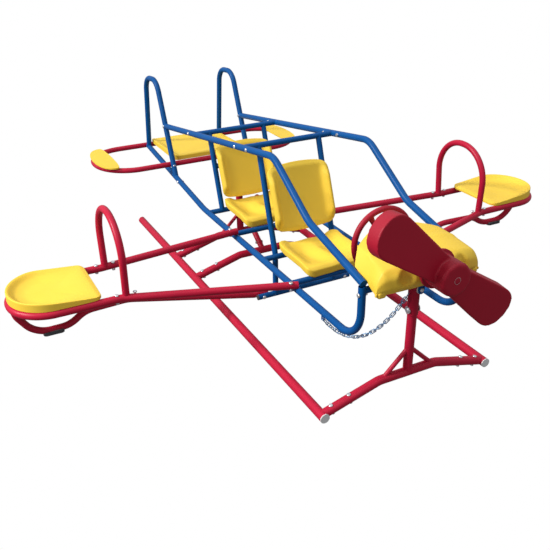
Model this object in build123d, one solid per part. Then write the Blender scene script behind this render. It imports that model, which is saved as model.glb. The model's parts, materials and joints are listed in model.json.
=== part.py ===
# Aeroplane-shaped playground seesaw: a ground frame of round tube carries a rocking
# fuselage with two cockpit seats, two wing seats and a tail seat.
# Millimetres. +Z is up and the nose points to -Y.
# Left and right in the names are as seen by someone standing in front of the nose: left is -X.
# The layout below measures Y from the middle of the wings and Z from the axis of the ground rails.
# place() moves every solid so that the origin is the middle of the footprint, on the ground.
import os
from math import atan2, cos, degrees, hypot, radians, sin

from build123d import *

# ---- driving dimensions -------------------------------------------------------------------
rail_gauge = 1000.0          # between the two ground rails
rail_od = 50.8
rail_front = -985.0
rail_rear = 1785.0
base_od = 48.3               # cross frames and posts
arch_half = 172.0            # half of the level stretch of a cross frame
arch_rise = 92.5
cross_frame_y = (-955.0, 675.0, 1034.0)
pivot_z = 585.0
frame_od = 38.1              # blue fuselage tube
bar_od = 34.0                # blue crossbars and seat uprights
wing_od = 41.3
wall = 2.2
half_body = 300.0            # side frames stand at this X on each side
floor_z = 350.0              # level stretch of the bottom tubes
handle_x = 1166.0            # wing handles and the bend of the wing tubes
wing_tip_centre = 1515.0
wing_mid_y = 100.0
wing_half_depth = 200.0
wing_z = 411.0
tail_z = 490.0
tail_front = 1555.0
tail_rear = 2100.0
tail_half = 800.0
upright_x = 200.0
seat_width = 400.0
axle_r = 8.0
running_gap = 0.05           # radial, for every turning fit
cope_gap = 0.05              # left where the end of one tube is cut round another
wheel_y = -675.0
wheel_z = 710.0
wheel_r = 165.0
propeller_y = -1146.0          # middle of the blades
propeller_z = 740.0
propeller_r = 478.0
cowl_rear = -695.0           # middle of the cowl's arched rear edge
cowl_front = -1045.0
cowl_nose = -1090.0
middle_y = 439.03            # layout Y of the middle of the footprint

rail_x = rail_gauge / 2
rail_r = rail_od / 2
base_r = base_od / 2
frame_r = frame_od / 2
bar_r = bar_od / 2
wing_r = wing_od / 2
sides = {"left": -1, "right": 1}
parts = {}


# ---- helpers --------------------------------------------------------------------------------
def run(points, radii, radius):
    """Solid round bar along straight runs joined by tangent arcs."""
    if len(points) == 2:
        path = Line(*points)
    else:
        path = FilletPolyline(*points, radius=radii)
    section = Plane(origin=path @ 0, z_dir=path % 0) * Circle(radius)
    return sweep(section, path=path)


def tube(points, radii, radius, thickness=wall):
    return run(points, radii, radius) - run(points, radii, radius - thickness)


def rod(start, end, radius):
    """Cylinder between two points."""
    a = Vector(*start)
    b = Vector(*end)
    length = (b - a).length
    return Plane(origin=a, z_dir=b - a) * Cylinder(radius, length, align=(Align.CENTER, Align.CENTER, Align.MIN))


def block(x, y, z):
    """Box from three (low, high) pairs."""
    size = (x[1] - x[0], y[1] - y[0], z[1] - z[0])
    centre = ((x[0] + x[1]) / 2, (y[0] + y[1]) / 2, (z[0] + z[1]) / 2)
    return Pos(*centre) * Box(*size)


def bolt(at, axis, grip, through=True, radius=5.0):
    """Button-head bolt; its grip is centred on the point and a nut closes the far side."""
    head = Cylinder(11, 6, align=(Align.CENTER, Align.CENTER, Align.MIN))
    head = fillet(head.edges().group_by(Axis.Z)[-1], 4)
    body = Cylinder(radius, grip) + Pos(0, 0, grip / 2) * head
    if through:
        nut = extrude(RegularPolygon(9.5, 6), 8)
        body += Pos(0, 0, -grip / 2 - 8) * nut
    return Plane(origin=Vector(*at), z_dir=Vector(*axis)) * body


def clear(node, *others):
    """Cope a node round its neighbours."""
    for other in others:
        node = node - other
    return node


# ---- ground frame ---------------------------------------------------------------------------
def arch_points(y):
    return [(-rail_x, y, 0), (-arch_half, y, arch_rise), (arch_half, y, arch_rise), (rail_x, y, 0)]


leg_run = rail_x - arch_half
leg_length = hypot(leg_run, arch_rise)
leg_dir = (leg_run / leg_length, arch_rise / leg_length)
spigot_length = 190.0
spigot_r = base_r - wall - 0.4
leg_bolt_at = (60.0, 165.0)   # along a leg, from the rail's axis


def leg_point(side, y, along):
    return (side * (rail_x - along * leg_dir[0]), y, along * leg_dir[1])


rails = {}
for name, side in sides.items():
    x = side * rail_x
    rails[name] = rod((x, rail_front, 0), (x, rail_rear, 0), rail_r)
    bore = rod((x, rail_front, 0), (x, rail_rear, 0), rail_r - 2.5)
    node = rails[name]
    for y in cross_frame_y:
        spigot = rod(leg_point(side, y, 0), leg_point(side, y, spigot_length), spigot_r)
        node += spigot - rod(leg_point(side, y, 0), leg_point(side, y, spigot_length), spigot_r - 2.5)
    parts["base_rail_" + name] = node - bore

caps = []
for side in sides.values():
    for end, out in ((rail_front, -1), (rail_rear, 1)):
        plug = rod((side * rail_x, end - out * 25, 0), (side * rail_x, end, 0), rail_r - 2.5)
        disc = rod((side * rail_x, end, 0), (side * rail_x, end + out * 5, 0), rail_r)
        caps.append(plug + disc)
parts["rail_end_caps"] = caps

post_top = pivot_z - 34.0
brace_top_z = 335.0
strut_foot = (150.0, arch_rise + 4)
strut_head = (0.0, 240.0)


def cross_frame(y, has_post):
    points = arch_points(y)
    outer = run(points, 120, base_r)
    frame = outer - run(points, 120, base_r - wall)
    if has_post:
        post = rod((0, y, arch_rise), (0, y, post_top), base_r) - outer
        frame += post
        for side in sides.values():
            strut = rod((side * strut_foot[0], y, strut_foot[1]), (strut_head[0], y, strut_head[1]), 12.0)
            frame += strut - outer - rod((0, y, arch_rise), (0, y, post_top), base_r)
        frame -= rod((0, y, arch_rise + base_r + 2), (0, y, post_top), base_r - wall)
    return clear(frame, rails["left"], rails["right"])


front_y, mid_y, rear_y = cross_frame_y
parts["front_cross_frame"] = cross_frame(front_y, True)
parts["middle_cross_tube"] = cross_frame(mid_y, False)
parts["rear_cross_frame"] = cross_frame(rear_y, True)

brace_ends = ((0, mid_y, arch_rise), (0, rear_y, brace_top_z))
mid_arch = run(arch_points(mid_y), 120, base_r)
rear_post = rod((0, rear_y, arch_rise), (0, rear_y, post_top), base_r)
parts["rear_brace"] = clear(rod(*brace_ends, frame_r) - rod(*brace_ends, frame_r - wall), mid_arch, rear_post)

head_reach = 45.0            # half length of a pivot sleeve
sleeve_r = 24.0
bush_seat_r = 17.0
collar_r = 28.5


def pivot_head(y):
    """Collar over the post top, with the level sleeve that the fuselage rocks on."""
    collar = rod((0, y, pivot_z - 155), (0, y, pivot_z - 10), collar_r)
    collar -= rod((0, y, pivot_z - 155), (0, y, post_top), base_r)
    sleeve = rod((0, y - head_reach, pivot_z), (0, y + head_reach, pivot_z), sleeve_r)
    return collar + sleeve - rod((0, y - head_reach, pivot_z), (0, y + head_reach, pivot_z), bush_seat_r)


parts["front_pivot_head"] = pivot_head(front_y)
parts["rear_pivot_head"] = pivot_head(rear_y)

bushes = []
for y in (front_y, rear_y):
    for end in (-1, 1):
        inner = y + end * 4
        outer_end = y + end * (head_reach + 3)
        bush = rod((0, inner, pivot_z), (0, outer_end, pivot_z), bush_seat_r)
        bush += rod((0, y + end * head_reach, pivot_z), (0, outer_end, pivot_z), sleeve_r - 1)
        bushes.append(bush - rod((0, inner, pivot_z), (0, outer_end, pivot_z), axle_r + running_gap))
parts["pivot_bushes"] = bushes

base_bolts = []
for y in cross_frame_y:
    for side in sides.values():
        for along in leg_bolt_at:
            axis = (side * leg_dir[1], 0, leg_dir[0])
            base_bolts.append(bolt(leg_point(side, y, along), axis, base_od - 2))
for point in ((0, mid_y + 52, arch_rise + 36), (0, rear_y - 45, brace_top_z - 31)):
    base_bolts.append(bolt(point, (1, 0, 0), frame_od - 2))
parts["base_bolts"] = base_bolts

post_bolts = []
for y in (front_y, rear_y):
    centre = (0, y, pivot_z - 128)
    post_bolt = bolt(centre, (-1, 0, 0), collar_r * 2 + 5, radius=6)
    washers = rod((-collar_r - 3.5, y, centre[2]), (-collar_r + 1, y, centre[2]), 19)
    washers += rod((collar_r - 1, y, centre[2]), (collar_r + 3.5, y, centre[2]), 19)
    post_bolts.append(post_bolt + washers)
parts["post_bolts"] = post_bolts

# ---- fuselage side frames -------------------------------------------------------------------
nose_y = -955.0
nose_top = 655.0
kink_y = 960.0
bottom_rise = (488.0 - floor_z) / (tail_rear - kink_y)


def bottom_z(y):
    return floor_z + max(0.0, y - kink_y) * bottom_rise


fin_foot = (1480.0, bottom_z(1480.0))
fin_top_front = (1757.0, 1062.0)
fin_top_rear = (1995.0, 1040.0)
fin_end = (2066.0, bottom_z(2066.0))
windshield_top = (-85.0, 1018.0)
windshield_foot = (-465.0, 788.0)
windshield_end = (-965.0, 672.6)
rail_start = (1625.0, 757.0)
rail_slope = (windshield_top[1] - rail_start[1]) / (rail_start[0] - windshield_top[0])


def rail_z(y):
    return rail_start[1] + (rail_start[0] - y) * rail_slope


tail_corner = 268.0
tail_points = [(-tail_half, tail_front), (tail_half, tail_front), (tail_half, tail_rear), (-tail_half, tail_rear)]


def tail_run(radius):
    """The closed tail loop, as two half loops that meet on the centre line."""
    halves = []
    for side in (-1, 1):
        points = [(0, tail_front, tail_z), (side * tail_half, tail_front, tail_z)]
        points += [(side * tail_half, tail_rear, tail_z), (0, tail_rear, tail_z)]
        halves.append(run(points, tail_corner, radius))
    return halves[0] + halves[1]


tail_outer = tail_run(frame_r + cope_gap)
parts["tail_loop"] = tail_run(frame_r) - tail_run(frame_r - wall)

bottoms = {}
hoops = {}
tops = {}
for name, side in sides.items():
    x = side * half_body
    bottom = [(x, nose_y, nose_top), (x, nose_y, floor_z), (x, kink_y, floor_z), (x, tail_rear, bottom_z(tail_rear))]
    hoop = [(x, *fin_foot), (x, *fin_top_front), (x, *fin_top_rear), (x, *fin_end)]
    top = [(x, *rail_start), (x, *windshield_top), (x, *windshield_foot), (x, *windshield_end)]
    bottoms[name] = run(bottom, [165, 400], frame_r + cope_gap)
    hoops[name] = run(hoop, 118, frame_r + cope_gap)
    tops[name] = run(top, [150, 200], frame_r + cope_gap)
    top_tube = tube(top, [150, 200], frame_r)
    windshield = Vector(0, windshield_end[0] - windshield_foot[0], windshield_end[1] - windshield_foot[1])
    closed_end = Vector(x, *windshield_end)
    top_tube += rod(closed_end - windshield.normalized() * 4, closed_end, frame_r - wall / 2)
    parts["top_rail_" + name] = clear(top_tube, hoops[name])
    parts["fin_hoop_" + name] = clear(tube(hoop, 118, frame_r), bottoms[name], tail_outer)
    parts["bottom_tube_" + name] = clear(tube(bottom, [165, 400], frame_r), tops[name], tail_outer)

# ---- crossbars and seat uprights --------------------------------------------------------------
body_solids = [*bottoms.values(), *hoops.values(), *tops.values()]


def crossbar(y, z, reach=half_body, radius=bar_r):
    ends = ((-reach, y, z), (reach, y, z))
    return rod(*ends, radius) - rod(*ends, radius - wall)


def crossbar_outer(y, z, reach=half_body, gap=0.0):
    return rod((-reach, y, z), (reach, y, z), bar_r + gap)


rear_upright = ((875.0, floor_z), (1040.0, rail_z(1040.0)))
front_upright = ((100.0, floor_z), (300.0, rail_z(300.0)))
low_z = 85.0
low_y = 100.0
bars = {
    "rear_top_crossbar": (rear_upright[1][0], rear_upright[1][1]),
    "front_top_crossbar": (front_upright[1][0], front_upright[1][1]),
    "rear_seat_rear_crossbar": (rear_upright[0][0], floor_z),
    "rear_seat_front_crossbar": (475.0, floor_z),
    "front_seat_rear_crossbar": (front_upright[0][0] - bar_od - 2, floor_z),
    "front_seat_front_crossbar": (-275.0, floor_z),
}
for name, (y, z) in bars.items():
    parts[name] = clear(crossbar(y, z), *body_solids)

low_reach = half_body + 18
parts["low_cross_tube"] = crossbar(low_y, low_z, low_reach)
low_caps = []
for side in sides.values():
    plug = rod((side * (low_reach - 20), low_y, low_z), (side * low_reach, low_y, low_z), bar_r - wall)
    low_caps.append(plug + rod((side * low_reach, low_y, low_z), (side * (low_reach + 4), low_y, low_z), bar_r))
parts["low_tube_caps"] = low_caps

rear_posts = []
front_posts = []
for side in sides.values():
    x = side * upright_x
    line = ((x, *rear_upright[0]), (x, *rear_upright[1]))
    post = rod(*line, bar_r) - rod(*line, bar_r - wall)
    rear_posts.append(clear(post, crossbar_outer(*bars["rear_top_crossbar"], gap=cope_gap),
                            crossbar_outer(*bars["rear_seat_rear_crossbar"], gap=cope_gap)))
    line = [(x, *front_upright[1]), (x, *front_upright[0]), (x, low_y, low_z)]
    post = tube(line, 90, bar_r)
    front_posts.append(clear(post, crossbar_outer(*bars["front_top_crossbar"], gap=cope_gap),
                             crossbar_outer(low_y, low_z, low_reach, gap=cope_gap)))
for group, name in ((rear_posts, "rear_seat_upright"), (front_posts, "front_seat_upright")):
    for solid, side in zip(group, sides):
        parts[name + "_" + side] = solid

# ---- hangers that carry the fuselage on the two pivots ------------------------------------------
hanger_z = 632.0
ear_gap = 3.6
ear = 6.0
ear_half = 17.0


def hanger_ears(y):
    plates = None
    for end in (-1, 1):
        inner = y + end * (head_reach + ear_gap)
        outer_end = inner + end * ear
        plate = block((-ear_half, ear_half), sorted((inner, outer_end)), (pivot_z - 5, hanger_z))
        plate += rod((0, inner, pivot_z - 5), (0, outer_end, pivot_z - 5), ear_half)
        plates = plate if plates is None else plates + plate
    return plates - rod((0, y - 70, pivot_z), (0, y + 70, pivot_z), axle_r)


def saddle(y):
    reach = head_reach + ear_gap + ear
    return block((-ear_half, ear_half), (y - reach, y + reach), (hanger_z - 14, hanger_z - 8))


nose_bar = crossbar_outer(nose_y, hanger_z)
nose_hanger = nose_bar + saddle(front_y) + hanger_ears(front_y)
nose_hanger -= rod((-half_body, nose_y, hanger_z), (half_body, nose_y, hanger_z), bar_r - wall)
parts["nose_hanger"] = clear(nose_hanger, *bottoms.values())

slope = (rear_upright[1][0] - rear_upright[0][0]) / (rear_upright[1][1] - rear_upright[0][1])
rear_bar_y = rear_upright[0][0] + (hanger_z - rear_upright[0][1]) * slope
rear_bar = rod((-upright_x, rear_bar_y, hanger_z), (upright_x, rear_bar_y, hanger_z), bar_r)
rear_hanger = rear_bar + saddle(rear_y) + hanger_ears(rear_y)
rear_hanger += block((-ear_half, ear_half), (rear_bar_y, rear_y), (hanger_z - 14, hanger_z - 8))
rear_hanger -= rod((-upright_x, rear_bar_y, hanger_z), (upright_x, rear_bar_y, hanger_z), bar_r - wall)
for side in sides.values():
    line = ((side * upright_x, *rear_upright[0]), (side * upright_x, *rear_upright[1]))
    rear_hanger -= rod(*line, bar_r + cope_gap)
parts["rear_hanger"] = rear_hanger

axles = []
for y in (front_y, rear_y):
    grip = (head_reach + ear_gap + ear) * 2
    axles.append(bolt((0, y, pivot_z), (0, -1, 0), grip, radius=axle_r))
parts["pivot_axles"] = axles

# ---- wings ------------------------------------------------------------------------------------
wing_front = wing_mid_y - wing_half_depth
wing_rear = wing_mid_y + wing_half_depth
root_front = (-357.0, 381.0)
root_rear = (425.0, 391.0)
wing_tip = wing_tip_centre + wing_half_depth


def wing_points(side):
    return [
        (side * half_body, *root_front),
        (side * (handle_x + 20), wing_front, wing_z),
        (side * wing_tip, wing_front, wing_z),
        (side * wing_tip, wing_rear, wing_z - 5),
        (side * (handle_x + 20), wing_rear, wing_z - 5),
        (side * half_body, *root_rear),
    ]


def handle_points(side):
    x = side * handle_x
    low = wing_z - 3
    top = 812.0
    return [(x, wing_front, low), (x, wing_front - 14, top), (x, wing_rear + 36, top), (x, wing_rear, low)]


bumper_z = 205.0


def strut_points(side):
    """From the low cross tube out to the wing, ending in the bumper loop under the seat."""
    behind = low_y + bar_r + frame_r + 0.5
    return [
        (side * 240, behind, low_z),
        (side * 330, behind, low_z + 4),
        (side * 1100, wing_mid_y + 45, 262),
        (side * 1340, wing_mid_y + 30, 262),
        (side * 1430, wing_mid_y + 20, bumper_z),
        (side * 1610, wing_mid_y + 14, bumper_z),
        (side * 1690, wing_mid_y + 8, 330),
        (side * (wing_tip - 6), wing_mid_y, wing_z - 3),
    ]


strut_radii = [60, 300, 150, 150, 150, 80]
pads = []
for name, side in sides.items():
    wing_outer = run(wing_points(side), [150, 195, 195, 150], wing_r)
    wing_tube = wing_outer - run(wing_points(side), [150, 195, 195, 150], wing_r - wall)
    parts["wing_tube_" + name] = clear(wing_tube, bottoms[name])
    handle = tube(handle_points(side), 205, frame_r)
    parts["wing_handle_" + name] = clear(handle, wing_outer)
    strut_outer = run(strut_points(side), strut_radii, frame_r)
    strut = strut_outer - run(strut_points(side), strut_radii, frame_r - wall)
    parts["wing_strut_" + name] = clear(strut, wing_outer)
    pad = block(sorted((side * 1465, side * 1575)), (wing_mid_y - 10, wing_mid_y + 44),
                (bumper_z - 20, bumper_z))
    pad = fillet(pad.edges().filter_by(Axis.Z), 18)
    pads.append(pad - strut_outer)
parts["bumper_pads"] = pads

seat_z = wing_z + wing_r + 0.4
wing_seat_in = 1285.0


def half_round(side, inset):
    """Plan of a wing seat: square inner end, half-round outer end."""
    depth = wing_half_depth + 8 - inset
    inner = wing_seat_in + inset
    plan = Pos(side * (inner + wing_tip_centre) / 2, wing_mid_y) * Rectangle(wing_tip_centre - inner, depth * 2)
    return plan + Pos(side * wing_tip_centre, wing_mid_y) * Circle(depth)


for name, side in sides.items():
    plate = Pos(0, 0, seat_z) * extrude(half_round(side, 0), 14)
    rim = Pos(0, 0, seat_z + 14) * extrude(half_round(side, 0) - half_round(side, 16), 24)
    rim -= block(sorted((side * 1200, side * 1500)), (-300, 500), (seat_z + 13, seat_z + 60))
    parts["wing_seat_" + name] = plate + rim

# ---- tail -------------------------------------------------------------------------------------
plate_z = tail_z + frame_r + 0.4
tail_seat = block((-272, 272), (tail_front + 4, tail_rear - 4), (plate_z, plate_z + 14))
tail_seat += block((-272, 272), (tail_front + 4, tail_front + 18), (plate_z, plate_z + 30))
parts["tail_seat"] = tail_seat
tail_centre = (tail_front + tail_rear) / 2
for name, side in sides.items():
    round_end = RectangleRounded((tail_half + 12) * 2, tail_rear - tail_front + 24, tail_corner + 10)
    plan = Pos(0, tail_centre) * round_end
    plan &= Pos(side * (665 + 100), tail_centre) * Rectangle(200, 900)
    parts["tail_tip_plate_" + name] = Pos(0, 0, plate_z) * extrude(plan, 12)

# ---- cockpit seats ------------------------------------------------------------------------------
pan_z = floor_z + bar_r + 0.3
pan_depth = 372.0


def seat_pan(rear_edge):
    y = (rear_edge - pan_depth, rear_edge)
    half = seat_width / 2
    pan = block((-half, half), y, (pan_z, pan_z + 40))
    pan -= block((-half + 30, half - 30), (y[0] + 46, y[1] + 1), (pan_z + 18, pan_z + 41))
    return fillet(pan.edges().filter_by(Axis.Z).group_by(Axis.Y)[0], 30)


def seat_back(upright, low, high):
    """Moulded back that lies on the front of two uprights, between two heights along them."""
    run_y = upright[1][0] - upright[0][0]
    run_z = upright[1][1] - upright[0][1]
    tilt = degrees(atan2(run_y, run_z))
    half = seat_width / 2
    slab = block((-half, half), (-22, 0), (low, high))
    slab += block((-half, -half + 34), (-52, -22), (low + 30, high - 30))
    slab += block((half - 34, half), (-52, -22), (low + 30, high - 30))
    slab = Pos(0, -bar_r - 0.4, 0) * slab
    return Pos(0, upright[0][0], upright[0][1]) * Rot(-tilt, 0, 0) * slab


parts["rear_seat_pan"] = seat_pan(rear_upright[0][0] - 22)
parts["front_seat_pan"] = seat_pan(front_upright[0][0] - 26)
parts["rear_seat_back"] = seat_back(rear_upright, 70, 425)
parts["front_seat_back"] = seat_back(front_upright, 115, 500)

# ---- nose: cowl, spindles, steering wheel, propeller ----------------------------------------------
cowl_half = 283.0
cowl_edge_y = -860.0         # where the arched rear edge meets the tubes
foot_slope = 0.405


def cowl_section(y, half, foot, shoulder, crown, inset):
    """Domed section: foot, side, shoulder and crown, the same on both sides."""
    half = half - inset
    right = [(half, foot - inset), (half - 13, (foot + shoulder[1]) / 2), (shoulder[0] - inset, shoulder[1] - inset)]
    right.append((shoulder[0] / 2, crown - 8 - inset))
    points = [(-x, z) for x, z in right] + [(0, crown - inset)] + right[::-1]
    return Plane(origin=(0, y, 0), x_dir=(1, 0, 0), z_dir=(0, -1, 0)) * make_face(Polyline(*points, close=True))


def cowl_solid(inset):
    foot_rear = 700 + (cowl_rear - cowl_edge_y) * foot_slope
    foot_front = 700 + (cowl_front - cowl_edge_y) * foot_slope
    rear = cowl_section(cowl_rear + (1 if inset else 0), cowl_half, foot_rear, (225, 792), 812, inset)
    front = cowl_section(cowl_front + inset, 268, foot_front, (238, 776), 800, inset)
    nose = cowl_section(cowl_nose + inset, 195, 648, (170, 750), 768, inset)
    return loft([rear, front, nose], ruled=True)


def cowl_edge(x):
    return cowl_rear + (cowl_edge_y - cowl_rear) * (abs(x) / cowl_half) ** 1.6


edge_points = [(x, cowl_edge(x)) for x in range(-300, 301, 50)]
behind_edge = make_face(Polyline(*edge_points, (300, -500), (-300, -500), close=True))
cowl = cowl_solid(0) - cowl_solid(5)
cowl -= Pos(0, 0, 500) * extrude(behind_edge, 500)
cowl -= rod((0, cowl_nose - 20, propeller_z), (0, cowl_nose + 20, propeller_z), 12)
parts["nose_cowl"] = clear(cowl, *tops.values(), *bottoms.values())

bracket_y = nose_y
bracket = block((-30, 30), (bracket_y - 3, bracket_y + 3), (hanger_z, 778))
parts["spindle_bracket"] = clear(bracket, crossbar_outer(nose_y, hanger_z))

steering_r = 9.0
hub_half = 17.0
spindle = rod((0, bracket_y + 3, wheel_z), (0, wheel_y - hub_half - 0.4, wheel_z), steering_r + 4)
spindle += rod((0, wheel_y - hub_half - 0.4, wheel_z), (0, wheel_y + hub_half + 6, wheel_z), steering_r)
spindle += rod((0, wheel_y + hub_half + 0.4, wheel_z), (0, wheel_y + hub_half + 9, wheel_z), 17)
parts["steering_spindle"] = spindle

wheel_plane = Plane(origin=(0, wheel_y, wheel_z), z_dir=(0, -1, 0))
wheel = wheel_plane * Torus(wheel_r, 16)
wheel += rod((0, wheel_y - hub_half, wheel_z), (0, wheel_y + hub_half, wheel_z), 30)
for angle in (0, 120, 240):
    end = (wheel_r * cos(radians(angle)), wheel_y, wheel_z + wheel_r * sin(radians(angle)))
    wheel += rod((0, wheel_y, wheel_z), end, 12)
wheel -= rod((0, wheel_y - 40, wheel_z), (0, wheel_y + 40, wheel_z), steering_r + running_gap)
parts["steering_wheel"] = wheel

shaft_r = 10.0
hub_rear = cowl_nose - 5
hub_front = -1229.0
hub_r = 84.0
shaft = rod((0, bracket_y - 3, propeller_z), (0, hub_front - 4, propeller_z), shaft_r)
parts["propeller_shaft"] = shaft
nut = rod((0, hub_front - 0.5, propeller_z), (0, hub_front - 12, propeller_z), 17)
parts["propeller_nut"] = nut - rod((0, hub_front, propeller_z), (0, hub_front - 4, propeller_z), shaft_r)

blade_angle = 38.5
blade_pitch = 5.0
blade_thick = 78.0


def blade():
    """Paddle along +X with a half-round tip, turned about its own length by the pitch."""
    tip_half = 103.0
    root_half = 60.0
    shoulder = propeller_r - tip_half
    outline = Polyline((0, -root_half), (shoulder, -tip_half), (shoulder, tip_half), (0, root_half), close=True)
    plan = make_face(outline) + Pos(shoulder, 0) * Circle(tip_half)
    solid = Pos(0, 0, -blade_thick / 2) * extrude(plan, blade_thick)
    return Rot(blade_pitch, 0, 0) * solid


propeller_plane = Plane(origin=(0, propeller_y, propeller_z), x_dir=(1, 0, 0), z_dir=(0, -1, 0))
propeller = rod((0, hub_rear, propeller_z), (0, hub_front, propeller_z), hub_r)
propeller += rod((0, hub_rear, propeller_z), (0, hub_rear - 14, propeller_z), 96)
for turn in (180 - blade_angle, -blade_angle):
    propeller += propeller_plane * (Rot(0, 0, turn) * blade())
propeller -= rod((0, hub_rear + 1, propeller_z), (0, hub_front - 80, propeller_z), shaft_r + running_gap)
parts["propeller"] = propeller

# ---- bolts of the rocking frame ---------------------------------------------------------------
rocker_bolts = []
for side in sides.values():
    x = side * half_body
    out = (side, 0, 0)
    for y in (1120.0, 372.0, 215.0):
        rocker_bolts.append(bolt((x, y, rail_z(y)), out, frame_od - 2))
    rocker_bolts.append(bolt((x, rail_start[0] - 4, rail_start[1]), out, frame_od - 2))
    rocker_bolts.append(bolt((x, nose_y, nose_top - 42), out, frame_od - 2))
    for y, z in (bars["rear_seat_front_crossbar"], bars["front_seat_front_crossbar"]):
        rocker_bolts.append(bolt((x, y, z), out, frame_od - 2))
    rocker_bolts.append(bolt((x, 1400.0, bottom_z(1400.0)), out, frame_od - 2))
    rocker_bolts.append(bolt((x, tail_front - 17, tail_z), (0, -1, 0), frame_od * 2))
    for y, z in (root_front, root_rear):
        rocker_bolts.append(bolt((side * (half_body + 44), y, z + 2), (0, 0, 1), wing_od - 2))
    for y, z in ((wing_front, wing_z), (wing_rear, wing_z - 5)):
        for shift in (-48, 48):
            rocker_bolts.append(bolt((side * (handle_x + shift), y, z), (0, 0, 1), wing_od - 2))
    rocker_bolts.append(bolt((side * 285, low_y + bar_r, low_z + 1), (0, -1, 0), bar_od + frame_od - 2))
parts["rocker_bolts"] = rocker_bolts

# ---- limit chain and its lug --------------------------------------------------------------------
lug_y = -620.0
lug = block((-half_body - 3, -half_body + 3), (lug_y - 12.5, lug_y + 12.5), (floor_z - 50.5, floor_z))
lug -= rod((-half_body - 10, lug_y, floor_z - 38), (-half_body + 10, lug_y, floor_z - 38), 8.5)
parts["chain_lug"] = clear(lug, bottoms["left"])

chain_start = Vector(-42, front_y - 10, 552)
chain_end = Vector(-300, lug_y - 7, floor_z - 41)
chain_sag = 330.0
link_count = 23
link_wire = 2.6
link_width = 16.0


def chain_point(t):
    """Hanging line between the two anchors, close to a parabola."""
    return chain_start + (chain_end - chain_start) * t - Vector(0, 0, chain_sag * 4 * t * (1 - t) * 0.5)


def chain_stations(count):
    """Points that divide the hanging line into equal lengths."""
    fine = [chain_point(i / 400) for i in range(401)]
    lengths = [0.0]
    for a, b in zip(fine, fine[1:]):
        lengths.append(lengths[-1] + (b - a).length)
    stations = []
    for i in range(count + 1):
        wanted = lengths[-1] * i / count
        j = min(range(401), key=lambda k: abs(lengths[k] - wanted))
        stations.append(fine[j])
    return stations


def link(pitch):
    """Oval link: two straights and two half rings, lying in the XY plane."""
    path = SlotOverall(pitch + link_width - 2, link_width).wire()
    section = Plane(origin=path @ 0, z_dir=path % 0) * Circle(link_wire)
    return sweep(section, path=path)


stations = chain_stations(link_count)
links = []
for i, (a, b) in enumerate(zip(stations, stations[1:])):
    along = b - a
    level = Vector(0, 0, 1).cross(along).normalized()
    normal = level if i % 2 else along.cross(level).normalized()
    links.append(Plane(origin=(a + b) / 2, x_dir=along, z_dir=normal) * link(along.length))
parts["limit_chain"] = links

# ---- bolt holes, placing and writing ------------------------------------------------------------
base_nodes = ["base_rail_left", "base_rail_right", "front_cross_frame", "middle_cross_tube", "rear_cross_frame",
              "rear_brace", "front_pivot_head", "rear_pivot_head"]
bolted = {"base_bolts": base_nodes, "post_bolts": base_nodes}
rocker_nodes = [n for n in parts if n.startswith(("top_rail", "bottom_tube", "fin_hoop", "wing_tube", "wing_strut",
                                                  "wing_handle", "tail_loop", "low_cross", "nose_hanger"))]
rocker_nodes += list(bars)
bolted["rocker_bolts"] = rocker_nodes


def near(a, b):
    """Do two boxes touch?"""
    return (a.min.X < b.max.X and b.min.X < a.max.X and a.min.Y < b.max.Y
            and b.min.Y < a.max.Y and a.min.Z < b.max.Z and b.min.Z < a.max.Z)


for group, nodes in bolted.items():
    for solid in parts[group]:
        box = solid.bounding_box()
        for name in nodes:
            if near(box, parts[name].bounding_box()):
                parts[name] = parts[name] - solid


def place(shape):
    return Pos(0, -middle_y, rail_r) * shape


os.makedirs("parts", exist_ok=True)
for name, shape in parts.items():
    solids = []
    for item in (shape if isinstance(shape, list) else [shape]):
        solids += place(item).solids()
    whole = solids[0] if len(solids) == 1 else Compound(children=solids)
    export_step(whole, os.path.join("parts", name + ".step"))
    print(name, len(solids))
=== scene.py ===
import json
import math
import bpy
from mathutils import Matrix, Vector


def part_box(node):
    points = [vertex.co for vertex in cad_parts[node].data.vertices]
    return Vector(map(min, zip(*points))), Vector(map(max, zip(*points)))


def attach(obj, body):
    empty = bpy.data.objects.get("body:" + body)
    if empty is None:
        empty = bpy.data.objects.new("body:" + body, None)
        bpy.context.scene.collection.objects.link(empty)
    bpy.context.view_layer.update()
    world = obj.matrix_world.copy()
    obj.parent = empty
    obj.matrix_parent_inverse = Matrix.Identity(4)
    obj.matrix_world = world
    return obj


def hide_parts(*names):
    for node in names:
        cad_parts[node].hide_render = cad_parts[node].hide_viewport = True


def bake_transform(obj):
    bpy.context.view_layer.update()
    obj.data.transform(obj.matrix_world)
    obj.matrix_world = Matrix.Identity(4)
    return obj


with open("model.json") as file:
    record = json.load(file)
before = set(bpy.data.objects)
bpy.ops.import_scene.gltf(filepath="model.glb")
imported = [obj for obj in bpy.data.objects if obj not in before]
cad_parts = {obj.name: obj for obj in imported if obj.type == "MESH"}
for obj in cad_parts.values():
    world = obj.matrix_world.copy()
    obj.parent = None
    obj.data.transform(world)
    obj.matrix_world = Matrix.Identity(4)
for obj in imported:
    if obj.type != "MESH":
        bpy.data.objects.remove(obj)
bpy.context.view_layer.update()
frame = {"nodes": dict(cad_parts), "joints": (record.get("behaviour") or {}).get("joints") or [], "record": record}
nodes = frame["nodes"]
print("stage: frame loaded,", len(nodes), "nodes")


# Working helpers, metres throughout
def deselectAll():
    if bpy.context.object and bpy.context.object.mode != "OBJECT":
        bpy.ops.object.mode_set(mode="OBJECT")
    bpy.ops.object.select_all(action="DESELECT")


# Select one piece only.
def takeUp(piece):
    deselectAll()
    piece.select_set(True)
    bpy.context.view_layer.objects.active = piece


def addPrimitive(kind, name, **settings):
    deselectAll()
    getattr(bpy.ops.mesh, "primitive_" + kind + "_add")(**settings)
    piece = bpy.context.object
    piece.name = name
    piece.data.name = name
    return piece


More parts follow.
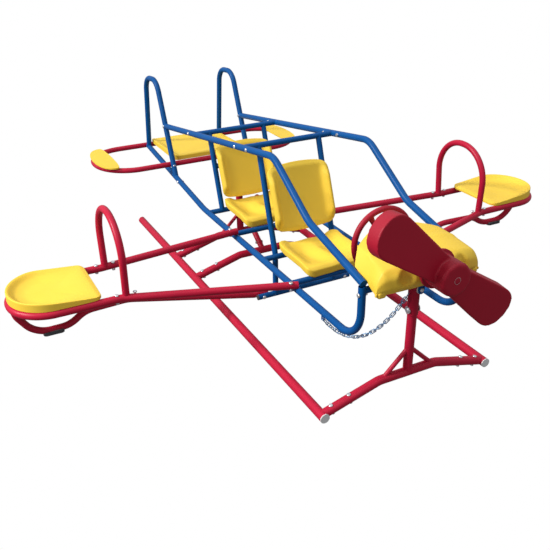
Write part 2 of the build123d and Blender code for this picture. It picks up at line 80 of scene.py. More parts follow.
def settle(piece):
    takeUp(piece)
    bpy.ops.object.transform_apply(location=True, rotation=True, scale=True)


def useModifier(piece, kind, **settings):
    takeUp(piece)
    modifier = piece.modifiers.new(kind.lower(), kind)
    for key, value in settings.items():
        setattr(modifier, key, value)
    bpy.ops.object.modifier_apply(modifier=modifier.name)


def joinAll(pieces, name):
    deselectAll()
    for piece in pieces:
        piece.select_set(True)
    bpy.context.view_layer.objects.active = pieces[0]
    bpy.ops.object.join()
    pieces[0].name = name
    return pieces[0]


def faceOut(piece):
    takeUp(piece)
    bpy.ops.object.mode_set(mode="EDIT")
    bpy.ops.mesh.select_all(action="SELECT")
    bpy.ops.mesh.remove_doubles(threshold=0.00002)
    bpy.ops.mesh.normals_make_consistent(inside=False)
    bpy.ops.object.mode_set(mode="OBJECT")


def smoothShade(piece, angle=40):
    takeUp(piece)
    bpy.ops.object.shade_smooth_by_angle(angle=math.radians(angle))


# Last step of every new piece: material, body, slot and the CAD nodes it stands for.
def mount(piece, body, material, replaced=()):
    piece.data.materials.clear()
    piece.data.materials.append(material)
    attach(piece, body)
    if replaced:
        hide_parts(*replaced)


def boxOf(name):
    low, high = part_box(name)
    return low, high, (low + high) / 2


# Smooth step from 0 at start to 1 at end.
def ramp(value, start, end):
    t = min(1.0, max(0.0, (value - start) / (end - start)))
    return t * t * (3 - 2 * t)


def bell(value, centre, width):
    return math.exp(-((value - centre) / width) ** 2)


# Shader node groups
def newGroup(name, inputs, outputs):
    group = bpy.data.node_groups.new(name, "ShaderNodeTree")
    for label, kind, value in inputs:
        socket = group.interface.new_socket(label, in_out="INPUT", socket_type=kind)
        if value is not None:
            socket.default_value = value
    for label, kind in outputs:
        group.interface.new_socket(label, in_out="OUTPUT", socket_type=kind)
    return group, group.nodes.new("NodeGroupInput"), group.nodes.new("NodeGroupOutput")


def addNode(tree, kind, **settings):
    node = tree.nodes.new(kind)
    for key, value in settings.items():
        setattr(node, key, value)
    return node


def addMath(tree, operation, first, second):
    node = addNode(tree, "ShaderNodeMath", operation=operation)
    for socket, value in zip(node.inputs, (first, second)):
        if isinstance(value, (int, float)):
            socket.default_value = value
        else:
            tree.links.new(value, socket)
    return node.outputs[0]


# Fine orange peel of paint or moulded plastic, with slow colour mottle.
def makeGrainGroup():
    group, given, result = newGroup(
        "surfaceGrain",
        [("Vector", "NodeSocketVector", None), ("Peel Scale", "NodeSocketFloat", 400.0),
         ("Mottle Scale", "NodeSocketFloat", 6.0)],
        [("Height", "NodeSocketFloat"), ("Mottle", "NodeSocketFloat")])
    peel = addNode(group, "ShaderNodeTexNoise")
    peel.inputs["Detail"].default_value = 3.0
    mottle = addNode(group, "ShaderNodeTexNoise")
    mottle.inputs["Detail"].default_value = 4.0
    for noise, scale in ((peel, "Peel Scale"), (mottle, "Mottle Scale")):
        group.links.new(given.outputs["Vector"], noise.inputs["Vector"])
        group.links.new(given.outputs[scale], noise.inputs["Scale"])
    group.links.new(peel.outputs["Fac"], result.inputs["Height"])
    group.links.new(mottle.outputs["Fac"], result.inputs["Mottle"])
    return group


# Thin rub marks and specks, where hands and shoes go.
def makeWearGroup():
    group, given, result = newGroup(
        "rubMarks",
        [("Vector", "NodeSocketVector", None), ("Scale", "NodeSocketFloat", 30.0),
         ("Threshold", "NodeSocketFloat", 0.68)],
        [("Mask", "NodeSocketFloat")])
    stretch = addNode(group, "ShaderNodeMapping")
    stretch.inputs["Scale"].default_value = (1.0, 0.22, 1.0)
    stretch.inputs["Rotation"].default_value = (0.4, 0.2, 0.6)
    noise = addNode(group, "ShaderNodeTexNoise")
    noise.inputs["Detail"].default_value = 8.0
    noise.inputs["Roughness"].default_value = 0.72
    group.links.new(given.outputs["Vector"], stretch.inputs["Vector"])
    group.links.new(stretch.outputs["Vector"], noise.inputs["Vector"])
    group.links.new(given.outputs["Scale"], noise.inputs["Scale"])
    above = addMath(group, "SUBTRACT", noise.outputs["Fac"], given.outputs["Threshold"])
    strong = addMath(group, "MULTIPLY", above, 9.0)
    clampNode = addNode(group, "ShaderNodeClamp")
    group.links.new(strong, clampNode.inputs["Value"])
    group.links.new(clampNode.outputs["Result"], result.inputs["Mask"])
    return group


# Faint dust that lies on what faces up.
def makeDustGroup():
    group, given, result = newGroup(
        "settledDust",
        [("Vector", "NodeSocketVector", None), ("Normal", "NodeSocketVector", None),
         ("Amount", "NodeSocketFloat", 0.1)],
        [("Mask", "NodeSocketFloat")])
    split = addNode(group, "ShaderNodeSeparateXYZ")
    group.links.new(given.outputs["Normal"], split.inputs["Vector"])
    noise = addNode(group, "ShaderNodeTexNoise")
    noise.inputs["Scale"].default_value = 14.0
    noise.inputs["Detail"].default_value = 6.0
    group.links.new(given.outputs["Vector"], noise.inputs["Vector"])
    up = addMath(group, "MULTIPLY", addMath(group, "MAXIMUM", split.outputs["Z"], 0.0), noise.outputs["Fac"])
    group.links.new(addMath(group, "MULTIPLY", up, given.outputs["Amount"]), result.inputs["Mask"])
    return group


grainGroup = makeGrainGroup()
wearGroup = makeWearGroup()
dustGroup = makeDustGroup()


def mixColour(tree, factor, first, second):
    mix = addNode(tree, "ShaderNodeMix", data_type="RGBA")
    tree.links.new(factor, mix.inputs["Factor"])
    for socket, value in ((mix.inputs[6], first), (mix.inputs[7], second)):
        if isinstance(value, tuple):
            socket.default_value = value
        else:
            tree.links.new(value, socket)
    return mix.outputs[2]


# One material: grain, rub marks and dust over a two-tone base.
def makeFinish(name, look):
    material = bpy.data.materials.new(name)
    material.use_nodes = True
    tree = material.node_tree
    shader = tree.nodes["Principled BSDF"]
    coordinates = addNode(tree, "ShaderNodeTexCoord")
    geometry = addNode(tree, "ShaderNodeNewGeometry")
    grain = addNode(tree, "ShaderNodeGroup", node_tree=grainGroup)
    wear = addNode(tree, "ShaderNodeGroup", node_tree=wearGroup)
    dust = addNode(tree, "ShaderNodeGroup", node_tree=dustGroup)
    for node in (grain, wear, dust):
        tree.links.new(coordinates.outputs["Object"], node.inputs["Vector"])
    tree.links.new(geometry.outputs["Normal"], dust.inputs["Normal"])
    grain.inputs["Peel Scale"].default_value = look["peelScale"]
    grain.inputs["Mottle Scale"].default_value = look["mottleScale"]
    wear.inputs["Scale"].default_value = look["rubScale"]
    wear.inputs["Threshold"].default_value = look["rubThreshold"]
    dust.inputs["Amount"].default_value = look["dust"]
    base = mixColour(tree, grain.outputs["Mottle"], (*look["deep"], 1), (*look["light"], 1))
    worn = mixColour(tree, wear.outputs["Mask"], base, (*look["rubbed"], 1))
    dusty = mixColour(tree, dust.outputs["Mask"], worn, (0.62, 0.59, 0.53, 1))
    tree.links.new(dusty, shader.inputs["Base Color"])
    dull = addMath(tree, "MULTIPLY", wear.outputs["Mask"], look["rubDull"])
    soft = addMath(tree, "MULTIPLY", grain.outputs["Mottle"], look["roughSpread"])
    rough = addMath(tree, "ADD", addMath(tree, "ADD", soft, look["rough"]), dull)
    tree.links.new(rough, shader.inputs["Roughness"])
    bump = addNode(tree, "ShaderNodeBump")
    bump.inputs["Strength"].default_value = look["bump"]
    bump.inputs["Distance"].default_value = look["bumpDepth"]
    tree.links.new(grain.outputs["Height"], bump.inputs["Height"])
    tree.links.new(bump.outputs["Normal"], shader.inputs["Normal"])
    shader.inputs["Metallic"].default_value = look["metal"]
    shader.inputs["Coat Weight"].default_value = look["coat"]
    shader.inputs["Coat Roughness"].default_value = 0.18
    shader.inputs["Specular IOR Level"].default_value = look["shine"]
    return material


enamel = {
    "peelScale": 260.0, "mottleScale": 5.0, "rubScale": 26.0, "rubThreshold": 0.72, "dust": 0.012,
    "rough": 0.33, "roughSpread": 0.08, "rubDull": 0.25, "bump": 0.05, "bumpDepth": 0.0006,
    "metal": 0.0, "coat": 0.0, "shine": 0.20,
}
plastic = {
    "peelScale": 520.0, "mottleScale": 4.0, "rubScale": 38.0, "rubThreshold": 0.70, "dust": 0.03,
    "rough": 0.42, "roughSpread": 0.12, "rubDull": 0.18, "bump": 0.03, "bumpDepth": 0.0008,
    "metal": 0.0, "coat": 0.0, "shine": 0.20,
}
plate = {
    "peelScale": 900.0, "mottleScale": 40.0, "rubScale": 60.0, "rubThreshold": 0.62, "dust": 0.02,
    "rough": 0.24, "roughSpread": 0.16, "rubDull": 0.2, "bump": 0.12, "bumpDepth": 0.0004,
    "metal": 0.85, "coat": 0.0, "shine": 0.5,
}
finishes = {
    "red_enamel": makeFinish("redEnamel", {
        **enamel, "light": (0.46, 0.007, 0.036), "deep": (0.38, 0.005, 0.028),
        "rubbed": (0.55, 0.05, 0.08),
    }),
    "blue_enamel": makeFinish("blueEnamel", {
        **enamel, "light": (0.001, 0.078, 0.27), "deep": (0.001, 0.058, 0.21),
        "rubbed": (0.02, 0.14, 0.40), "shine": 0.12,
    }),
    "yellow_plastic": makeFinish("yellowPlastic", {
        **plastic, "light": (0.84, 0.575, 0.055), "deep": (0.76, 0.505, 0.042),
        "rubbed": (0.93, 0.70, 0.22),
    }),
    "red_plastic": makeFinish("redPlastic", {
        **plastic, "light": (0.36, 0.006, 0.024), "deep": (0.29, 0.005, 0.019),
        "rubbed": (0.40, 0.03, 0.05),
    }),
    "pale_cap": makeFinish("paleCap", {
        **plastic, "light": (0.66, 0.67, 0.66), "deep": (0.56, 0.57, 0.56),
        "rubbed": (0.42, 0.42, 0.40),
    }),
    "black_rubber": makeFinish("blackRubber", {
        **plastic, "light": (0.075, 0.078, 0.085), "deep": (0.05, 0.052, 0.057),
        "rubbed": (0.16, 0.16, 0.16), "rough": 0.6,
    }),
    "bush_plastic": makeFinish("bushPlastic", {
        **plastic, "light": (0.7, 0.7, 0.68), "deep": (0.6, 0.6, 0.58),
        "rubbed": (0.5, 0.5, 0.48),
    }),
    "zinc": makeFinish("zincPlate", {
        **plate, "light": (0.86, 0.88, 0.90), "deep": (0.70, 0.73, 0.76),
        "rubbed": (0.55, 0.55, 0.53),
    }),
    "spindle_steel": makeFinish("spindleSteel", {
        **plate, "light": (0.62, 0.63, 0.65), "deep": (0.5, 0.51, 0.53),
        "rubbed": (0.4, 0.39, 0.37),
    }),
    "chain_steel": makeFinish("chainSteel", {
        **plate, "light": (0.30, 0.46, 0.66), "deep": (0.14, 0.26, 0.44),
        "rubbed": (0.5, 0.52, 0.55),
    }),
}
slotOf = {part["node"]: part["material_slot"] for part in frame["record"]["subparts"]}
for name, node in nodes.items():
    node.data.materials.clear()
    node.data.materials.append(finishes[slotOf[name]])
print("stage: materials")


# Moulded shells
# A grid bent to surface(u, v), u from -1 to 1 and v from 0 to 1, with its rim turned down by skirt.
def mouldedShell(name, acrossCuts, alongCuts, surface, skirt, wall=0.004, taper=0.97):
    piece = addPrimitive("grid", name, x_subdivisions=acrossCuts, y_subdivisions=alongCuts, size=2)
    for vertex in piece.data.vertices:
        vertex.co = surface(vertex.co.x, (vertex.co.y + 1) / 2)
    bpy.ops.object.mode_set(mode="EDIT")
    bpy.ops.mesh.select_all(action="SELECT")
    bpy.ops.mesh.normals_make_consistent(inside=False)
    bpy.ops.mesh.region_to_loop()
    for share in (0.12, 0.44, 0.44):
        bpy.ops.mesh.extrude_region_move(TRANSFORM_OT_translate={"value": [c * share for c in skirt]})
        bpy.ops.transform.resize(value=(taper, taper, taper) if share > 0.4 else (1.004, 1.004, 1.004))
    bpy.ops.object.mode_set(mode="OBJECT")
    faceOut(piece)
    useModifier(piece, "SOLIDIFY", thickness=wall, offset=-1.0)
    useModifier(piece, "SUBSURF", levels=1, render_levels=1)
    smoothShade(piece, 50)
    return piece


# How far a rounded corner takes in the edge, near either end of a length.
def cornerRound(along, length, radius):
    near = min(along, length - along)
    if near >= radius:
        return 0.0
    return radius - math.sqrt(max(0.0, radius ** 2 - (radius - near) ** 2))


panLook = {
    "corner": 0.035, "bolster": 0.020, "dish": 0.026, "pommel": 0.016, "lip": 0.014, "top": 0.044,
    "skirt": 0.044,
}


def makeSeatPan(name, node):
    low, high, middle = boxOf(node)
    half = (high.x - low.x) / 2
    depth = high.y - low.y
    base = low.z + panLook["top"]

    def surface(u, v):
        y = low.y + v * depth
        side = half - cornerRound(v * depth, depth, panLook["corner"])
        x = middle.x + u * side
        edge = abs(u)
        z = base
        z += panLook["bolster"] * ramp(edge, 0.62, 0.95) * ramp(v, 0.04, 0.3)
        z -= panLook["dish"] * bell(edge, 0.40, 0.26) * bell(v, 0.58, 0.30)
        z += panLook["pommel"] * bell(u, 0.0, 0.20) * bell(v, 0.30, 0.28)
        z += panLook["lip"] * bell(v, 0.08, 0.10) * (1 - 0.4 * ramp(edge, 0.5, 1.0))
        z -= 0.010 * ramp(v, 0.05, 0.0) + 0.004 * ramp(v, 0.97, 1.0)
        z += 0.012 * ramp(v, 0.75, 1.0)
        return Vector((x, y, z))

    piece = mouldedShell(name, 44, 40, surface, (0, 0, -panLook["skirt"]), taper=0.99)
    mount(piece, "rocker", finishes["yellow_plastic"], [node])


makeSeatPan("rearSeatPan", "rear_seat_pan")
makeSeatPan("frontSeatPan", "front_seat_pan")

backLook = {"corner": 0.055, "bolster": 0.038, "hollow": 0.008, "skirt": 0.030, "proud": 0.033}


# Back panel on its two uprights, with a bolster down each side.
def makeSeatBack(name, node, upright):
    low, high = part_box(node)
    lowPost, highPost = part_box(upright)
    postTop = Vector((0, highPost.y, highPost.z))
    if node.startswith("rear"):
        postFoot = Vector((0, lowPost.y, lowPost.z))
    else:
        postFoot = Vector((0, lowPost.y + 0.004, lowPost.z + 0.27))
    up = (postTop - postFoot).normalized()
    out = Vector((0, -up.z, up.y))
    half = (high.x - low.x) / 2
    length = (high.z - low.z) / up.z - 0.02
    foot = Vector((0, high.y, high.z)) - up * length
    foot -= Vector((0, 1, 0)) * 0.004

    def surface(u, v):
        side = half - cornerRound(v * length, length, backLook["corner"]) * (0.7 if v < 0.5 else 1.0)
        edge = abs(u)
        swell = ramp(v, 0.04, 0.22) * (1 - ramp(v, 0.72, 0.97))
        proud = backLook["bolster"] * bell(edge, 0.90, 0.11) * swell
        proud -= backLook["hollow"] * (1 - edge ** 2) * math.sin(math.pi * v)
        proud -= 0.010 * ramp(v, 0.92, 1.0) + 0.006 * ramp(v, 0.08, 0.0)
        arch = 0.012 * (1 - u * u) * ramp(v, 0.5, 1.0) - 0.010 * (1 - u * u) * ramp(v, 0.5, 0.0)
        return foot + up * (v * length + arch) + out * (backLook["proud"] + proud) + Vector((u * side, 0, 0))

    piece = mouldedShell(name, 48, 40, surface, -out * backLook["skirt"], taper=0.985)
    mount(piece, "rocker", finishes["yellow_plastic"], [node])


makeSeatBack("rearSeatBack", "rear_seat_back", "rear_seat_upright_left")
makeSeatBack("frontSeatBack", "front_seat_back", "front_seat_upright_left")
print("stage: cockpit seats")


# Flat moulded plates: wing seats, tail seat, tail tips
# Polygon on floorZ grown by rise, inset and shrink steps, then lifted by dome(x, y, depth).
def plateFromOutline(name, outline, floorZ, steps, dome):
    piece = addPrimitive("circle", name, vertices=len(outline), radius=1, fill_type="NGON")
    for vertex, point in zip(piece.data.vertices, outline):
        vertex.co = (point[0], point[1], floorZ)
    bpy.ops.object.mode_set(mode="EDIT")
    bpy.ops.mesh.select_all(action="SELECT")
    bpy.ops.mesh.normals_make_consistent(inside=False)
    bpy.ops.mesh.extrude_region_move(TRANSFORM_OT_translate={"value": (0, 0, 0.0005)})
    for kind, amount in steps:
        if kind == "rise":
            bpy.ops.mesh.extrude_region_move(TRANSFORM_OT_translate={"value": (0, 0, amount)})
        elif kind == "inset":
            bpy.ops.mesh.inset(thickness=amount, depth=0.0, use_even_offset=True)
        else:
            bpy.ops.mesh.extrude_region_move()
            bpy.ops.transform.resize(value=(amount, amount, 1))
    bpy.ops.mesh.subdivide(number_cuts=1)
    bpy.ops.object.mode_set(mode="OBJECT")
    for vertex in piece.data.vertices:
        vertex.co.z += dome(vertex.co.x, vertex.co.y, vertex.co.z - floorZ)
    faceOut(piece)
    useModifier(piece, "SUBSURF", levels=2, render_levels=2)
    smoothShade(piece, 55)
    return piece


def arcPoints(centre, radius, start, end, count):
    points = []
    for step in range(count):
        angle = math.radians(start + (end - start) * step / (count - 1))
        points.append((centre[0] + radius * math.cos(angle), centre[1] + radius * math.sin(angle)))
    return points


wingSeatLook = {"corner": 0.045, "thick": 0.020, "rimRise": 0.026, "dish": 0.012}


def makeWingSeat(side):
    node = "wing_seat_" + side
    sign = -1 if side == "left" else 1
    low, high, middle = boxOf(node)
    radius = (high.y - low.y) / 2
    inner = high.x if sign < 0 else low.x
    outer = low.x if sign < 0 else high.x
    tip = outer - sign * radius
    corner = wingSeatLook["corner"]
    outline = arcPoints((0, 0), radius, -90, 90, 27)
    outline = [(tip + sign * x, middle.y + y) for x, y in outline]
    top = arcPoints((0, 0), corner, 90, 180, 7)
    outline += [(inner + sign * (corner + x), high.y - corner + y) for x, y in top]
    bottom = arcPoints((0, 0), corner, 180, 270, 7)
    outline += [(inner + sign * (corner + x), low.y + corner + y) for x, y in bottom]
    thick = wingSeatLook["thick"]

    def dome(x, y, depth):
        if depth < thick * 0.6:
            return 0.0
        reach = math.hypot(max(0.0, sign * (x - tip)), y - middle.y) / radius
        along = abs(x - inner) / abs(outer - inner)
        rim = ramp(reach, 0.78, 0.97) * ramp(along, 0.10, 0.75)
        crown = -wingSeatLook["dish"] * (1 - ramp(reach, 0.55, 0.85)) * ramp(along, 0.05, 0.45)
        roll = -0.006 * ramp(along, 0.06, 0.0)
        return wingSeatLook["rimRise"] * rim * (depth / (thick + 0.001)) + crown + roll

    steps = [("rise", 0.004), ("rise", thick - 0.008), ("rise", 0.004), ("inset", 0.006), ("inset", 0.008)]
    steps += [("inset", 0.010)] + [("shrink", share) for share in (0.93, 0.92, 0.90, 0.86, 0.80, 0.70, 0.55)]
    piece = plateFromOutline("wingSeat" + side.capitalize(), outline, low.z, steps, dome)
    mount(piece, "rocker", finishes["yellow_plastic"], [node])


for side in ("left", "right"):
    makeWingSeat(side)


def roundedRectangle(low, high, radius, count=7):
    points = []
    corners = ((high.x - radius, high.y - radius, 0), (low.x + radius, high.y - radius, 90),
               (low.x + radius, low.y + radius, 180), (high.x - radius, low.y + radius, 270))
    for x, y, turn in corners:
        points += arcPoints((x, y), radius, turn, turn + 90, count)
    return points


def makeTailSeat():
    low, high, middle = boxOf("tail_seat")
    depth = high.y - low.y

    def dome(x, y, lift):
        v = (y - low.y) / depth
        u = abs(x - middle.x) / ((high.x - low.x) / 2)
        if lift < 0.008:
            return 0.0
        return 0.014 * bell(v, 0.05, 0.07) + 0.010 * ramp(u, 0.80, 0.96) - 0.006 * bell(v, 0.5, 0.3) * (1 - u)

    steps = [("rise", 0.004), ("rise", 0.010), ("rise", 0.004), ("inset", 0.006), ("inset", 0.010)]
    steps += [("shrink", share) for share in (0.95, 0.93, 0.90, 0.85, 0.75, 0.6)]
    outline = roundedRectangle(low, high, 0.035)
    piece = plateFromOutline("tailSeat", outline, low.z, steps, dome)
    mount(piece, "rocker", finishes["yellow_plastic"], ["tail_seat"])


makeTailSeat()


def makeTipPlate(side):
    node = "tail_tip_plate_" + side
    sign = -1 if side == "left" else 1
    low, high, middle = boxOf(node)
    radius = (high.y - low.y) / 2
    outer = low.x if sign < 0 else high.x
    inner = high.x if sign < 0 else low.x
    reach = abs(outer - inner)
    outline = []
    for step in range(29):
        angle = math.radians(-90 + 180 * step / 28)
        outline.append((inner + sign * reach * math.cos(angle) ** 0.62, middle.y + radius * math.sin(angle)))
    steps = [("rise", 0.003), ("rise", 0.006), ("rise", 0.003), ("inset", 0.005)]
    steps += [("shrink", 0.92), ("shrink", 0.8)]
    piece = plateFromOutline("tailTipPlate" + side.capitalize(), outline, low.z, steps,
                             lambda x, y, lift: -0.003 * (lift > 0.010) * (1 - abs(y - middle.y) / radius))
    mount(piece, "rocker", finishes["yellow_plastic"], [node])


for side in ("left", "right"):
    makeTipPlate(side)
print("stage: wing and tail seats")

# Nose cowl, its heights counted up from the ground rails' axis
cowlLook = {
    "half": 0.283, "front": 0.045, "arch": 0.165, "shoulder": 0.228, "shoulderGrow": 0.026,
    "steep": 0.58, "fold": 0.70, "wall": 0.005,
    "foot": 0.767, "footDrop": 0.122, "ledge": 0.790, "ledgeDrop": 0.034, "crown": 0.812, "crownDrop": 0.020,
    "dimpleAt": 0.150, "dimpleZ": 0.722, "dimple": 0.044, "dimpleDepth": 0.013,
    "tabAt": 0.262, "tabZ": 0.648, "tabSize": (0.044, 0.040, 0.034), "tabSoft": 0.011,
}


def makeNoseCowl():
    look = cowlLook
    low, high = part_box("nose_cowl")
    rear = high.y
    nose = low.y
    front = nose + look["front"]
    zero = high.z - look["crown"]

    # Foot height, shoulder half width and height, crown height at y.
    def section(y):
        t = (rear - y) / (rear - front)
        footZ = zero + look["foot"] - look["footDrop"] * t
        shoulderZ = zero + look["ledge"] - look["ledgeDrop"] * t * t
        crownZ = zero + look["crown"] - look["crownDrop"] * t * t
        return footZ, look["shoulder"] + look["shoulderGrow"] * t, shoulderZ, crownZ

    # Across one section: crown, shoulder and the steep side down to the foot.
    def across(edge, y):
        footZ, shoulderX, shoulderZ, crownZ = section(y)
        half = look["half"] + 0.006 * ramp(y, front + 0.10, front)
        if edge < look["steep"]:
            share = edge / look["steep"]
            return shoulderX * share, crownZ + (shoulderZ - crownZ) * share ** 2.2
        share = (edge - look["steep"]) / (1 - look["steep"])
        cheek = 0.003 + 0.012 * ramp(y, front + 0.09, front + 0.02)
        x = shoulderX + (half - shoulderX) * share + cheek * math.sin(math.pi * share)
        return x, shoulderZ + (footZ - shoulderZ) * share

    def surface(u, v):
        edge = abs(u)
        run = min(1.0, v / look["fold"])
        drop = max(0.0, (v - look["fold"]) / (1 - look["fold"]))
        guess = across(edge, rear)[0]
        start = rear - look["arch"] * (guess / look["half"]) ** 1.6
        y = start + (front - start) * run
        x, z = across(edge, y)
        if drop > 0:
            footZ = section(front)[0]
            roundOff = max(0.0, 1 - (x / (look["half"] + 0.020)) ** 4)
            y = front - look["front"] * math.sin(min(1.0, drop / 0.38) * math.pi / 2) * roundOff
            y += 0.022 * ramp(drop, 0.72, 1.0) * roundOff
            z += (footZ - z) * drop
            reach = math.hypot(x - look["dimpleAt"], z - zero - look["dimpleZ"])
            y += look["dimpleDepth"] * (1 - ramp(reach, look["dimple"] * 0.55, look["dimple"]))
            y -= 0.006 * bell(reach, look["dimple"] * 1.15, 0.010)
        else:
            crease = bell(y, rear - 0.215, 0.020) * ramp(edge, 0.1, 0.5) * (1 - ramp(edge, 0.56, 0.64))
            z += 0.007 * crease
        return Vector((x if u >= 0 else -x, y, z))

    shell = addPrimitive("grid", "noseCowl", x_subdivisions=96, y_subdivisions=84, size=2)
    for vertex in shell.data.vertices:
        vertex.co = surface(vertex.co.x, (vertex.co.y + 1) / 2)
    faceOut(shell)
    useModifier(shell, "SMOOTH", factor=0.5, iterations=9)
    useModifier(shell, "SOLIDIFY", thickness=look["wall"], offset=-1.0)
    tabs = []
    for sign in (-1, 1):
        at = (sign * look["tabAt"], front + 0.002, zero + look["tabZ"])
        tab = addPrimitive("cube", "tab", size=1, location=at)
        tab.scale = look["tabSize"]
        settle(tab)
        useModifier(tab, "BEVEL", width=look["tabSoft"], segments=4)
        tabs.append(tab)
    piece = joinAll([shell, *tabs], "noseCowl")
    smoothShade(piece, 45)
    mount(piece, "rocker", finishes["yellow_plastic"], ["nose_cowl"])


makeNoseCowl()
print("stage: nose cowl")

# Propeller
propellerLook = {
    "radius": 0.480, "pitch": 5.0, "angle": 38.5, "thick": 0.076, "tipHalf": 0.104, "rootHalf": 0.062,
    "hub": 0.084, "boss": 0.015, "flange": 0.098, "flangeDeep": 0.016, "hubProud": -0.0015, "straight": 0.7,
    "voxel": 0.0042,
}
joints = {joint["name"]: joint for joint in frame["joints"]}


# Round primitive whose axis lies along Y.
def place(kind, name, at, **settings):
    piece = addPrimitive(kind, name, location=at, rotation=(math.radians(90), 0, 0), **settings)
    settle(piece)
    return piece


# Melt overlapping shapes into one moulded skin with soft fillets.
def fuse(pieces, name, voxel, smoothing):
    piece = joinAll(pieces, name)
    useModifier(piece, "REMESH", mode="VOXEL", voxel_size=voxel, adaptivity=0.0)
    useModifier(piece, "SMOOTH", factor=0.6, iterations=smoothing)
    smoothShade(piece, 60)
    return piece


# A flat blade along its own X, widening to a blunt round tip, then pitched and turned.
def makeBlade(turn, centre):
    look = propellerLook
    blade = addPrimitive("grid", "blade", x_subdivisions=48, y_subdivisions=20, size=2)
    bend = look["radius"] - look["tipHalf"]
    for vertex in blade.data.vertices:
        along = (vertex.co.x + 1) / 2
        if along < look["straight"]:
            reach = bend * along / look["straight"]
        else:
            turned = (along - look["straight"]) / (1 - look["straight"])
            reach = bend + look["tipHalf"] * math.sin(turned * math.pi / 2)
        width = look["rootHalf"] + (look["tipHalf"] - look["rootHalf"]) * min(1.0, reach / bend)
        over = max(0.0, reach - bend) / look["tipHalf"]
        width *= math.sqrt(max(0.0004, 1 - over ** 2.7))
        vertex.co = (reach, vertex.co.y * width, 0)
    faceOut(blade)
    useModifier(blade, "SOLIDIFY", thickness=look["thick"], offset=0.0)
    stand = Matrix.Translation(centre) @ Matrix.Rotation(math.radians(90), 4, "X")
    stand = stand @ Matrix.Rotation(math.radians(turn), 4, "Z")
    blade.data.transform(stand @ Matrix.Rotation(math.radians(look["pitch"]), 4, "X"))
    return blade


def makePropeller():
    look = propellerLook
    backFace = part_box("propeller")[1].y
    centre = Vector(joints["propeller_spin"]["pos_m"])
    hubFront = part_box("propeller_nut")[0].y + look["hubProud"]
    pieces = [makeBlade(turn, centre) for turn in (180 - look["angle"], -look["angle"])]
    drums = (
        (look["hub"], backFace, hubFront + 0.002, 10, 0.014),
        (look["boss"], backFace, hubFront, 40, 0.003),
        (look["flange"], backFace, backFace - look["flangeDeep"], 40, 0.004),
    )
    for radius, rear, front, count, soft in drums:
        at = (0, (rear + front) / 2, centre.z)
        drum = place("cylinder", "drum", at, vertices=count, radius=radius, depth=abs(rear - front))
        useModifier(drum, "BEVEL", width=soft, segments=3, limit_method="ANGLE")
        pieces.append(drum)
    piece = fuse(pieces, "propeller", look["voxel"], 3)
    mount(piece, "propeller", finishes["red_plastic"], ["propeller"])


makePropeller()

# Steering wheel
wheelLook = {"rim": 0.165, "wire": 0.0155, "hub": 0.030, "hubDeep": 0.034, "spoke": 0.011, "voxel": 0.0032}


def makeSteeringWheel():
    look = wheelLook
    centre = Vector(joints["wheel_spin"]["pos_m"])
    ring = place("torus", "ring", centre, major_radius=look["rim"], minor_radius=look["wire"],
                 major_segments=96, minor_segments=16)
    hub = place("cylinder", "hub", centre, vertices=40, radius=look["hub"], depth=look["hubDeep"])
    useModifier(hub, "BEVEL", width=0.006, segments=3, limit_method="ANGLE")
    pieces = [ring, hub]
    for turn in (0, 120, 240):
        spoke = addPrimitive("cube", "spoke", size=1)
        bpy.ops.object.mode_set(mode="EDIT")
        bpy.ops.mesh.subdivide(number_cuts=5)
        bpy.ops.object.mode_set(mode="OBJECT")
        for vertex in spoke.data.vertices:
            along = vertex.co.x + 0.5
            flare = 1 + 0.5 * bell(along, 0.0, 0.25) + 0.6 * bell(along, 1.0, 0.16)
            wide = vertex.co.y * look["spoke"] * 2 * flare
            vertex.co = (along * look["rim"], wide, vertex.co.z * look["spoke"] * 1.7)
        useModifier(spoke, "BEVEL", width=0.004, segments=2, limit_method="ANGLE")
        stand = Matrix.Translation(centre) @ Matrix.Rotation(math.radians(90), 4, "X")
        spoke.data.transform(stand @ Matrix.Rotation(math.radians(turn), 4, "Z"))
        pieces.append(spoke)
    piece = fuse(pieces, "steeringWheel", look["voxel"], 3)
    mount(piece, "steering_wheel", finishes["red_plastic"], ["steering_wheel"])


makeSteeringWheel()
print("stage: propeller and steering wheel")

# Limit chain
chainLook = {"links": 23, "wire": 0.0026, "ring": 0.008, "sag": 0.330, "play": 0.002, "steps": 400}
layoutY = joints["rock"]["pos_m"][1]
railRadius = 0.0254


def makeChain():
    look = chainLook
    start = Vector((-0.042, layoutY - 0.965, railRadius + 0.552))
    end = Vector((-0.300, layoutY - 0.627, railRadius + 0.309))
    count = look["steps"]
    fine = []
    for i in range(count + 1):
        drop = look["sag"] * 2 * i / count * (1 - i / count)
        fine.append(start + (end - start) * (i / count) - Vector((0, 0, drop)))
    lengths = [0.0]
    for a, b in zip(fine, fine[1:]):
        lengths.append(lengths[-1] + (b - a).length)
    stations = []
    for i in range(look["links"] + 1):
        wanted = lengths[-1] * i / look["links"]
        stations.append(fine[min(range(count + 1), key=lambda k: abs(lengths[k] - wanted))])
    links = []
    for i, (a, b) in enumerate(zip(stations, stations[1:])):
        along = b - a
        straight = (along.length - look["play"]) / 2
        link = addPrimitive("torus", "link", major_radius=look["ring"], minor_radius=look["wire"],
                            major_segments=20, minor_segments=8)
        for vertex in link.data.vertices:
            vertex.co.x += straight if vertex.co.x > 0 else -straight
        along = along.normalized()
        level = Vector((0, 0, 1)).cross(along).normalized()
        normal = level if i % 2 else along.cross(level).normalized()
        across = normal.cross(along)
        turn = Matrix((along, across, normal)).transposed().to_4x4()
        link.data.transform(Matrix.Translation((a + b) / 2) @ turn)
        links.append(link)
    piece = joinAll(links, "limitChain")
    smoothShade(piece, 70)
    piece.data.materials.clear()
    piece.data.materials.append(finishes["chain_steel"])
    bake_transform(piece)
    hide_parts("limit_chain")


makeChain()
print("stage: limit chain")

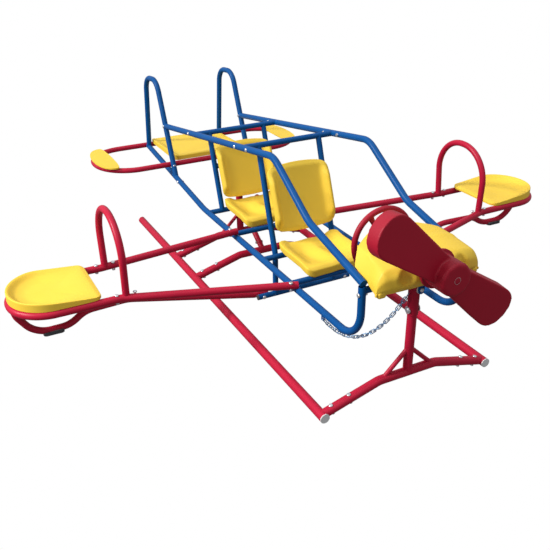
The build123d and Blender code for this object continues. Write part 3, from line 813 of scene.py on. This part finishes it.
# Backdrop, light and camera
studio = {"backdrop": (1.0, 1.0, 1.0, 1), "above": (0.62, 0.63, 0.66, 1), "below": (0.16, 0.15, 0.15, 1)}


# A plain white backdrop; the light it gives is soft from above and weak from below.
def makeStage():
    world = bpy.data.worlds.new("studio")
    bpy.context.scene.world = world
    world.use_nodes = True
    tree = world.node_tree
    backdrop = tree.nodes["Background"]
    backdrop.inputs["Color"].default_value = studio["backdrop"]
    glow = addNode(tree, "ShaderNodeBackground")
    coordinates = addNode(tree, "ShaderNodeTexCoord")
    split = addNode(tree, "ShaderNodeSeparateXYZ")
    tree.links.new(coordinates.outputs["Generated"], split.inputs["Vector"])
    share = addNode(tree, "ShaderNodeMapRange")
    share.inputs["From Min"].default_value = -0.6
    share.inputs["From Max"].default_value = 0.7
    tree.links.new(split.outputs["Z"], share.inputs["Value"])
    shade = mixColour(tree, share.outputs["Result"], studio["below"], studio["above"])
    tree.links.new(shade, glow.inputs["Color"])
    seen = addNode(tree, "ShaderNodeLightPath")
    mix = addNode(tree, "ShaderNodeMixShader")
    tree.links.new(seen.outputs["Is Camera Ray"], mix.inputs["Fac"])
    tree.links.new(glow.outputs["Background"], mix.inputs[1])
    tree.links.new(backdrop.outputs["Background"], mix.inputs[2])
    tree.links.new(mix.outputs["Shader"], tree.nodes["World Output"].inputs["Surface"])


def addSun(name, come, power, spread):
    deselectAll()
    bpy.ops.object.light_add(type="SUN", location=come)
    lamp = bpy.context.object
    lamp.name = name
    lamp.data.energy = power
    lamp.data.angle = math.radians(spread)
    lamp.rotation_euler = (-Vector(come)).to_track_quat("-Z", "Y").to_euler()


def addLight(name, at, aim, size, power):
    deselectAll()
    bpy.ops.object.light_add(type="AREA", location=at)
    lamp = bpy.context.object
    lamp.name = name
    lamp.data.size = size
    lamp.data.energy = power
    lamp.rotation_euler = (Vector(aim) - Vector(at)).to_track_quat("-Z", "Y").to_euler()


# Looks from the nose's left-hand side, a little above the wings.
def addCamera():
    azimuth = math.radians(-27.18)
    elevation = math.radians(27.42)
    roll = math.radians(-0.63)
    distance = 4.577
    target = Vector((-0.126, layoutY + 0.2505, 0.1469))
    back = Vector((math.sin(azimuth) * math.cos(elevation), -math.cos(azimuth) * math.cos(elevation),
                   math.sin(elevation)))
    bpy.ops.object.camera_add(location=target + back * distance)
    camera = bpy.context.object
    turn = (-back).to_track_quat("-Z", "Y").to_matrix() @ Matrix.Rotation(roll, 3, "Z")
    camera.rotation_euler = turn.to_euler()
    camera.data.sensor_width = 36.0
    camera.data.lens = 47.72
    camera.data.clip_end = 200
    bpy.context.scene.camera = camera


makeStage()
addSun("keyLight", (-4.0, 0.9, 3.1), 2.7, 10)
addLight("nearLight", (-4.0, -0.6, 2.8), (-0.2, -0.2, 0.5), 1.2, 75)
addSun("topLight", (0.4, -1.2, 5.0), 0.6, 60)
addCamera()
bpy.context.scene.view_settings.view_transform = "Standard"
print("stage: backdrop, light and camera")
